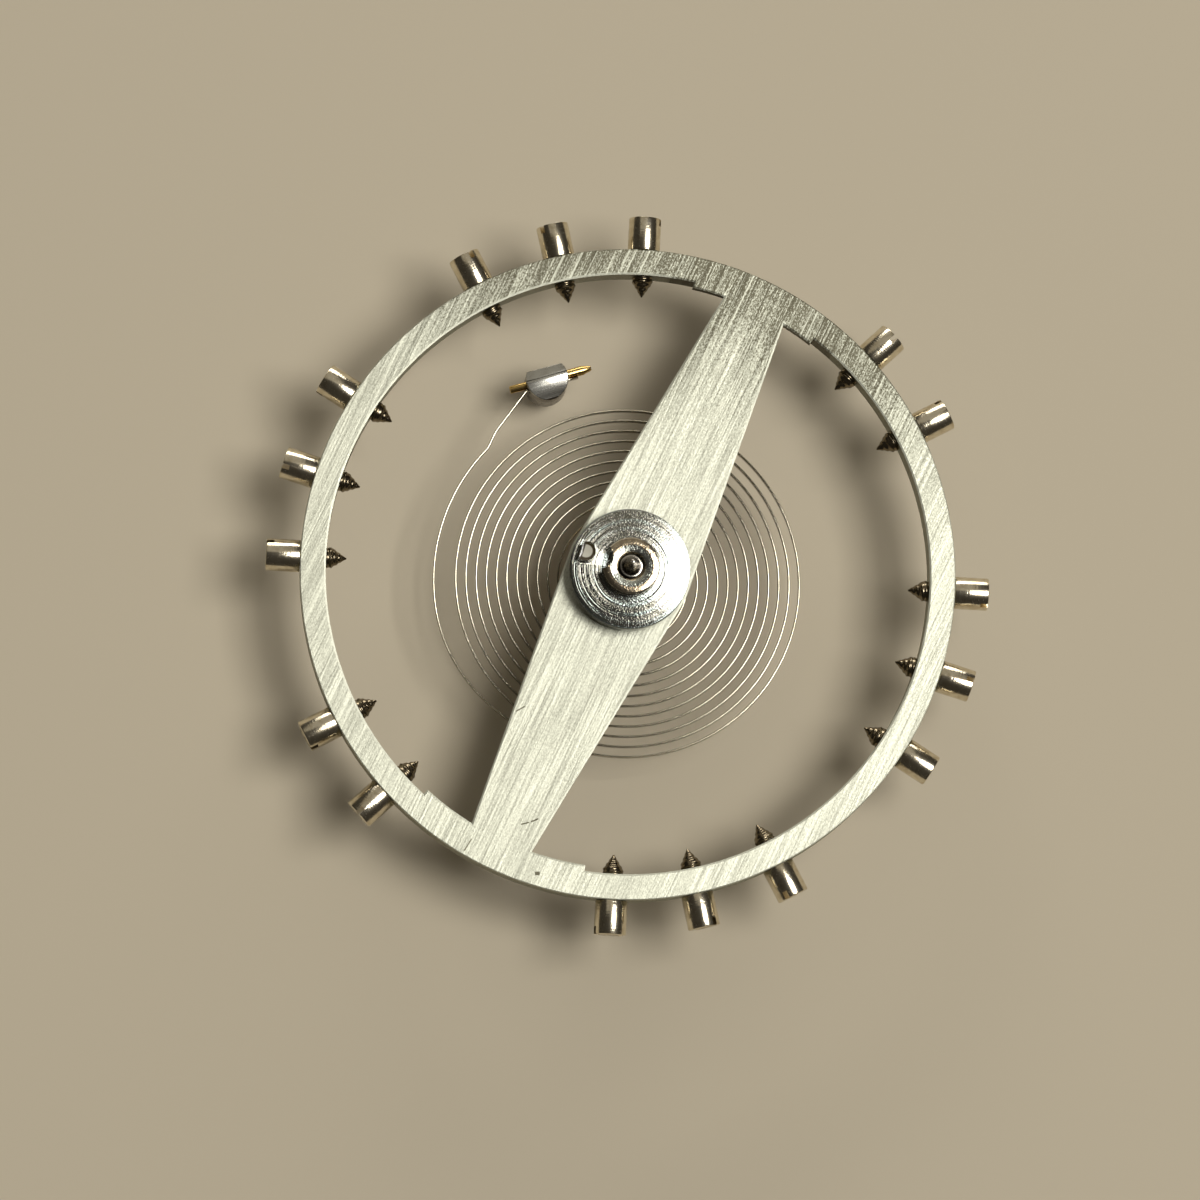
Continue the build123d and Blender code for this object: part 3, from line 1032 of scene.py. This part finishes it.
def safetyBlank():
    floor = safetyTop - safety["recessDepth"]
    outline = [
        (staff["postRadius"], tableTop),
        (safety["hubRadius"], tableTop),
        (safety["hubRadius"], safety["discBase"]),
        (safety["radius"], safety["discBase"]),
        (safety["radius"], safetyTop),
        (safety["recessRadius"], safetyTop),
        (safety["recessRadius"], floor),
        (staff["postRadius"], floor),
    ]
    shape = spun(outline, safety["steps"], closed=True)
    softened(shape, safety["edge"], pick=atRadius(safety["radius"], safetyTop))
    softened(shape, safety["recessEdge"], 1, atRadius(safety["recessRadius"], safetyTop))
    softened(shape, safety["boreEdge"], pick=atRadius(staff["postRadius"], floor))
    middle = polar(safety["crescentDistance"], stone["angle"], safetyTop)
    crescent = rod(
        safety["crescentRadius"], shortTool, Matrix.Translation(middle), safety["crescentSteps"]
    )
    return carved(shape, crescent)


def atRadius(wanted, level):
    # picks the edges at that radius, from that level up
    return lambda radius, z: abs(radius - wanted) < slack and z > level - slack


addPiece("safety_roller", noteMaking(safetyBlank()), turnedPaint("safetyRollerSteel", safety))


# Hairspring: the strip is drawn straight, its share between stud and collet is worked out point
# by point, and then it is wound
print("hairspring")
spring = {
    "thickness": 0.05,
    "height": 0.22,
    "edge": 0.0245,
    "edgeSteps": 5,
    "bendStep": 2.5,
    "smallBendStep": 5,
    "tightBendStep": 6,
    "level": 1.63,
    "outerRadius": 4.63,
    "colletGap": 0.2255,
    "halfTurns": 27,
    "startAngle": 201.35,
    "terminalRise": 0.37,
    "terminalSweep": 80.0,
    "regulatorAngle": 49.7,
    "doglegRadius": 0.25,
    "doglegOut": 18.9,
    "doglegLength": 0.405,
    "doglegBack": 11.7,
    "legLength": 1.27,
    "studBendRadius": 0.12,
    "studBend": 37.6,
    "studEntry": 0.03,
    "tail": 0.28,
    "elbowRadius": 0.25,
    "pinGap": 0.005,
    "roughness": 0.16,
    "lines": (0.6, 40, 40),
    "haze": (0.5, 12, 12),
    "lineDepth": 0.0006,
    "bright": (0.68, 0.64, 0.51, 1),
    "dull": (0.52, 0.48, 0.37, 1),
    # painted shade on the strip's flanks
    "flank": (0.13, 0.10, 0.065, 1),
    "flankFrom": 0.0855,
}
collet = {
    "radius": 0.80,
    "height": 0.70,
    "holeRadius": 0.15,
    "holeDistance": 0.56,
    "stripShift": 0.065,
    "slit": 0.12,
    "slitLength": 1.10,
    "edge": 0.03,
    "pinSmall": 0.065,
    "pinBig": 0.08,
    "pinOverhang": 0.10,
    "steps": 80,
    "ringWave": 0.2,
    "ringsEach": 18,
    "lean": 1.0,
    "fineRingsEach": 90,
    "ringDepth": 0.0012,
    "pits": 3.0,
    "roughness": 0.22,
    "haze": 0.15,
    "specks": 0.3,
    "bright": (0.80, 0.63, 0.34, 1),
    "dull": (0.68, 0.52, 0.28, 1),
    "speck": (0.36, 0.25, 0.12, 1),
}
stud = {
    "radius": 0.555,
    "flat": 0.295,
    "length": 1.30,
    "slopeWidth": 0.24,
    "slopeDrop": 0.06,
    "crownRadius": 1.1,
    "crownCuts": 7,
    "crownCutStep": 0.08,
    "topRound": 0.04,
    "topRoundDepth": 0.3,
    "footEdge": 0.05,
    "steps": 96,
    "holeRadius": 0.18,
    "holeShift": 0.05,
    "pinSmall": 0.10,
    "pinBig": 0.125,
    "pinSmallReach": 1.00,
    "pinBigReach": 1.21,
    "roughness": 0.27,
    "lines": (1.2, 34, 34),
    "haze": (3, 5, 5),
    "lineDepth": 0.002,
    "bright": (0.56, 0.55, 0.50, 1),
    "dull": (0.42, 0.40, 0.35, 1),
    # painted shade on the stud's side walls
    "flank": (0.10, 0.08, 0.06, 1),
    "flankFrom": 1.14,
}


class Walk:
    # a route in the spring's plane, made of bends and straight runs. A station is a point, the
    # heading there and the length so far.
    def __init__(self, point, heading):
        self.point = point
        self.heading = heading
        self.length = 0.0
        self.stations = []
        self.note()

    def note(self):
        self.stations.append((self.point.copy(), self.heading, self.length))

    def straight(self, length, steps=2):
        start, begun = self.point.copy(), self.length
        for step in range(1, steps + 1):
            self.point = start + self.ahead() * (length * step / steps)
            self.length = begun + length * step / steps
            self.note()

    def bend(self, radius, angle, bendStep=spring["bendStep"]):
        # turns left where the angle is positive
        side = radius if angle > 0 else -radius
        centre = self.point + self.aside() * side
        steps = ceil(abs(angle) / bendStep)
        for step in range(steps):
            self.heading += radians(angle) / steps
            self.point = centre - self.aside() * side
            self.length += radius * abs(radians(angle)) / steps
            self.note()

    def ahead(self):
        return Vector((cos(self.heading), sin(self.heading), 0))

    def aside(self):
        return Vector((-sin(self.heading), cos(self.heading), 0))


def terminalWalk():
    # from the outermost coil out to the stud
    around = radians(spring["startAngle"])
    outer = spring["outerRadius"]
    regulator = outer + spring["terminalRise"]
    half = spring["terminalSweep"] / 2
    bow = spring["terminalRise"] / (2 - 2 * cos(radians(half)))
    walk = Walk(polar(outer, spring["startAngle"], spring["level"]), around - pi / 2)
    walk.bend(outer + bow, -half)
    walk.bend(regulator - bow, -half)
    walk.bend(regulator, -spring["regulatorAngle"])
    walk.bend(spring["doglegRadius"], spring["doglegOut"], spring["smallBendStep"])
    walk.straight(spring["doglegLength"])
    walk.bend(spring["doglegRadius"], -spring["doglegBack"], spring["smallBendStep"])
    walk.straight(spring["legLength"], steps=6)
    walk.bend(spring["studBendRadius"], -spring["studBend"], spring["tightBendStep"])
    return walk


def coilWalk():
    # from the outermost coil in to the collet
    around = radians(spring["startAngle"])
    outer = spring["outerRadius"]
    inner = collet["radius"] + spring["colletGap"]
    step = (outer - inner) / spring["halfTurns"]
    elbow = spring["elbowRadius"]
    distance = collet["holeDistance"] + collet["stripShift"]
    walk = Walk(polar(outer, spring["startAngle"], spring["level"]), around + pi / 2)
    for halfTurn in range(spring["halfTurns"]):
        walk.bend(outer - step / 2 - halfTurn * step, 180)
    turn = acos((distance - elbow) / (inner - elbow))
    walk.bend(elbow, degrees(turn), spring["smallBendStep"])
    entry = (inner - elbow) * sin(turn) - halfChord(collet["radius"], distance)
    walk.straight(entry, steps=3)
    return walk


def halfChord(radius, distance):
    # half of what a circle cuts out of a line at that distance from its middle
    return sqrt(radius ** 2 - distance ** 2)


def joinedWalks(outside, inside):
    # one list of stations (point, heading, length) from the stud's end to the collet's
    whole = outside.length
    first = [(point, heading + pi, whole - length) for point, heading, length in outside.stations]
    rest = [(point, heading, whole + length) for point, heading, length in inside.stations]
    return first[::-1] + rest[1:]


# Where the strip passes through stud and collet: the feet are the middles of its way through
# them, and it is held from there to its ends
studStrip = stud["pinBig"] + spring["pinGap"] + spring["thickness"] / 2
studHalf = halfChord(stud["radius"], studStrip)
outside = terminalWalk()
studAlong, studOut = outside.ahead(), outside.aside()
studFoot = outside.point + studAlong * (spring["studEntry"] + studHalf)
studAxis = studFoot + studOut * studStrip
outside.straight(spring["studEntry"])
freeOutside = outside.length
outside.straight(2 * studHalf + spring["tail"], steps=4)
inside = coilWalk()
freeInside = inside.length
colletStrip = collet["holeDistance"] + collet["stripShift"]
colletHalf = halfChord(collet["radius"], colletStrip)
colletAlong = inside.ahead()
colletFoot = inside.point + colletAlong * colletHalf
inside.straight(2 * colletHalf, steps=4)
colletOut = Vector((colletFoot.x, colletFoot.y, 0)).normalized()
stations = joinedWalks(outside, inside)
heldAtStud = outside.length - freeOutside
heldAtCollet = outside.length + freeInside


def springShare(length):
    # how far along the free spring a station lies, told so that the turn grows evenly with it
    share = min(max((length - heldAtStud) / (heldAtCollet - heldAtStud), 0), 1)
    return 0.5 - sin(asin(1 - 2 * share) / 3)


def stripBlank():
    # the straight strip: its ring of points number n lies at x = n, and belongs to station n
    shape = bmesh.new()
    bmesh.ops.create_grid(shape, x_segments=1, y_segments=1, size=0.5)
    bmesh.ops.scale(shape, vec=(spring["height"], spring["thickness"], 1), verts=shape.verts[:])
    bevelled(shape, shape.verts[:], spring["edge"], spring["edgeSteps"], affect="VERTICES")
    pushed(shape, len(stations) - 1)
    long = [edge for edge in shape.edges if edge.calc_length() > 1]
    bmesh.ops.subdivide_edges(shape, edges=long, cuts=len(stations) - 2)
    shape.transform(Matrix.Rotation(radians(-90), 4, "Y"))
    return shape


def addSpring():
    # each point's share along the free strip is set as its x before it is wound, and the wound
    # places then replace it
    shape = stripBlank()
    making = shape.verts.layers.float_vector.new("making")
    wound = []
    for point in shape.verts:
        middle, heading, length = stations[round(point.co.x)]
        side = Vector((-sin(heading), cos(heading), 0)) * point.co.y
        wound.append((middle + side + Vector((0, 0, point.co.z))) * mm)
        point[making] = (length, point.co.y, point.co.z)
        point.co.x = springShare(length) / mm
    paint = stripPaint("springSteel", spring)
    piece = addPiece("hairspring", shape, paint, body=None, ending="_wound")
    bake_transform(piece)
    piece.data.vertices.foreach_set("co", [value for place in wound for value in place])
    piece.data.update()


addSpring()


# Collet, stud and their taper pins
print("collet, stud and pins")
pinLook = {
    "pointShare": 0.5,
    "endEdge": 0.02,
    "steps": 40,
    "roughness": 0.20,
    "lines": (34, 34, 1.5),
    "haze": (5, 5, 1.5),
    "lineDepth": 0.0006,
    "bright": (0.80, 0.57, 0.21, 1),
    "dull": (0.56, 0.37, 0.13, 1),
}
pinPaint = stripPaint("drawnBrass", pinLook)


def colletBlank():
    low = spring["level"] - collet["height"] / 2
    shape = ringBlank(staff["postRadius"], collet["radius"], low, low + collet["height"],
                      collet["steps"])
    softened(shape, collet["edge"], pick=isOutsidePost)
    middle = Vector((0, 0, spring["level"]))
    slitPlace = facing(middle - colletOut * collet["radius"], upwards, colletOut)
    shape = carved(shape, block((collet["slitLength"], collet["slit"], tool), slitPlace))
    holePlace = facing(middle + colletOut * collet["holeDistance"], colletAlong, colletOut)
    return carved(shape, rod(collet["holeRadius"], longTool, holePlace))


def pinBlank(middle, along, small, big, smallReach, bigReach):
    # a taper pin through middle, whose big end lies that way along
    outline = [
        (0, -smallReach),
        (small, -smallReach),
        (big, bigReach - 2 * big),
        (big * pinLook["pointShare"], bigReach),
        (0, bigReach),
    ]
    shape = softened(spun(outline, pinLook["steps"]), pinLook["endEdge"], 3, sharp=40)
    noteMaking(shape)
    shape.transform(facing(middle, along, upwards))
    return shape


def studBlank():
    # its end slopes down to the flat, and is rounded over towards the other side
    shape = pushed(flatSided(stud["radius"], stud["flat"], stud["steps"]), stud["length"])
    ridge = stud["flat"] - stud["slopeWidth"]
    for step in range(stud["crownCuts"]):
        sliced(shape, ridge - stud["crownCutStep"] * step)
    for point in shape.verts:
        if point.co.z > -slack:
            away = point.co.x - ridge
            slope = stud["slopeDrop"] * away / stud["slopeWidth"]
            point.co.z -= slope if away > 0 else away ** 2 / (2 * stud["crownRadius"])
    softened(shape, stud["topRound"], 3, lambda radius, z: z > -stud["topRoundDepth"])
    softened(shape, stud["footEdge"], pick=lambda radius, z: z < slack - stud["length"])
    top = levels("hairspring_stud")[1]
    holePlace = Matrix.Translation((-stud["holeShift"], 0, spring["level"] - top))
    holePlace = holePlace @ Matrix.Rotation(radians(90), 4, "X")
    shape = carved(shape, rod(stud["holeRadius"], longTool, holePlace))
    foot = -stud["length"]
    noteMaking(shape, value=lambda point: (point.co.y, point.co.x, point.co.z - foot))
    shape.transform(facing(Vector((studAxis.x, studAxis.y, top)), upwards, studOut))
    return shape


addPiece("hairspring_collet", noteMaking(colletBlank()), turnedPaint("turnedBrass", collet))
colletPinDistance = colletStrip - spring["thickness"] / 2 - spring["pinGap"] - collet["pinBig"]
colletPinMiddle = colletOut * colletPinDistance + Vector((0, 0, spring["level"]))
colletPinReach = halfChord(collet["radius"], colletPinDistance) + collet["pinOverhang"]
colletPin = pinBlank(colletPinMiddle, colletAlong, collet["pinSmall"], collet["pinBig"],
                     colletPinReach, colletPinReach)
addPiece("collet_pin", colletPin, pinPaint)
addPiece("hairspring_stud", studBlank(), stripPaint("studSteel", stud), "stud")
studPinMiddle = Vector((studAxis.x, studAxis.y, spring["level"]))
studPin = pinBlank(studPinMiddle, studAlong, stud["pinSmall"], stud["pinBig"],
                   stud["pinSmallReach"], stud["pinBigReach"])
addPiece("stud_pin", studPin, pinPaint, "stud")


# Bench, lamps and camera. A lamp's way is told as in the photograph: x to the right, y up the
# picture and z towards the camera.
print("bench, lamps and camera")
studio = {
    "pictureTurn": 64.65,
    "bench": (0.545, 0.478, 0.358, 1),
    "benchRadius": 2,
    "benchClouds": (0.03, 0.03, 0.03),
    "benchRough": (0.1, 0.8),
    "room": (0.30, 0.27, 0.22, 1),
    "roomStrength": 0.14,
    "lamps": {
        "overhead": {"way": (0.36, 0.02, 0.93), "distance": 0.5, "size": (0.21, 0.21),
                     "power": 1.75, "colour": (1.0, 0.98, 0.94)},
        "side": {"way": (0.05, 0.97, 0.22), "distance": 0.5, "size": (0.40, 0.16),
                 "power": 1.2, "colour": (1.0, 0.97, 0.90)},
        "ceiling": {"way": (-0.15, 0.60, 0.80), "distance": 0.9, "size": (0.8, 0.8),
                    "power": 0.6, "colour": (1.0, 0.93, 0.78)},
    },
}
view = {
    "lens": 200,
    "sensor": 36,
    "nearest": 0.01,
    "tilt": 8.0,
    "backAngle": 184.15,
    "upAngle": 25.35,
    "aim": (0, 0, 0.00333),
    "aside": 0.000737,
    "upward": 0.000712,
    "distance": 0.1725,
}


def pictureWay(x, y, z):
    # the way in the part's own axes
    turn = Matrix.Rotation(-radians(studio["pictureTurn"]), 3, "Z")
    return (turn @ Vector((x, y, z))).normalized()


def addLamp(name, look):
    light = bpy.data.lights.new(name, "AREA")
    light.shape = "RECTANGLE"
    light.size, light.size_y = look["size"]
    light.energy = look["power"]
    light.color = look["colour"]
    lamp = addObject(name, light)
    way = pictureWay(*look["way"])
    across = pictureWay(0, 1, 0).cross(way).normalized()
    lamp.matrix_world = facing(way * look["distance"], way, across)
    lamp.visible_camera = False


def addBench():
    shape = bmesh.new()
    bmesh.ops.create_circle(shape, cap_ends=True, segments=64, radius=studio["benchRadius"])
    bench = addObject("bench", asMesh(shape, "bench"))
    paint = Paint("bench")
    cloudy = paint.noise(paint.place(), studio["benchClouds"])
    uneven, roughness = studio["benchRough"]
    bench.data.materials.append(
        paint.finish(Base_Color=studio["bench"], Roughness=(cloudy - 0.5) * uneven + roughness)
    )


def addRoom():
    room = bpy.data.worlds.new("room")
    room.use_nodes = True
    shade = room.node_tree.nodes["Background"]
    shade.inputs["Color"].default_value = studio["room"]
    shade.inputs["Strength"].default_value = studio["roomStrength"]
    bpy.context.scene.world = room


def addCamera():
    tilt, around = radians(view["tilt"]), radians(view["backAngle"])
    back = Vector((sin(tilt) * cos(around), sin(tilt) * sin(around), cos(tilt)))
    level = polar(1, view["upAngle"])
    up = (level - back * level.dot(back)).normalized()
    right = up.cross(back)
    middle = Vector(view["aim"]) - right * view["aside"] - up * view["upward"]
    lens = bpy.data.cameras.new("camera")
    lens.lens = view["lens"]
    lens.sensor_width = view["sensor"]
    lens.clip_start = view["nearest"]
    camera = addObject("camera", lens)
    camera.matrix_world = facing(middle + back * view["distance"], back, right)
    bpy.context.scene.camera = camera


for name, look in studio["lamps"].items():
    addLamp(name, look)
addBench()
addRoom()
addCamera()
bpy.context.scene.view_settings.view_transform = "Standard"
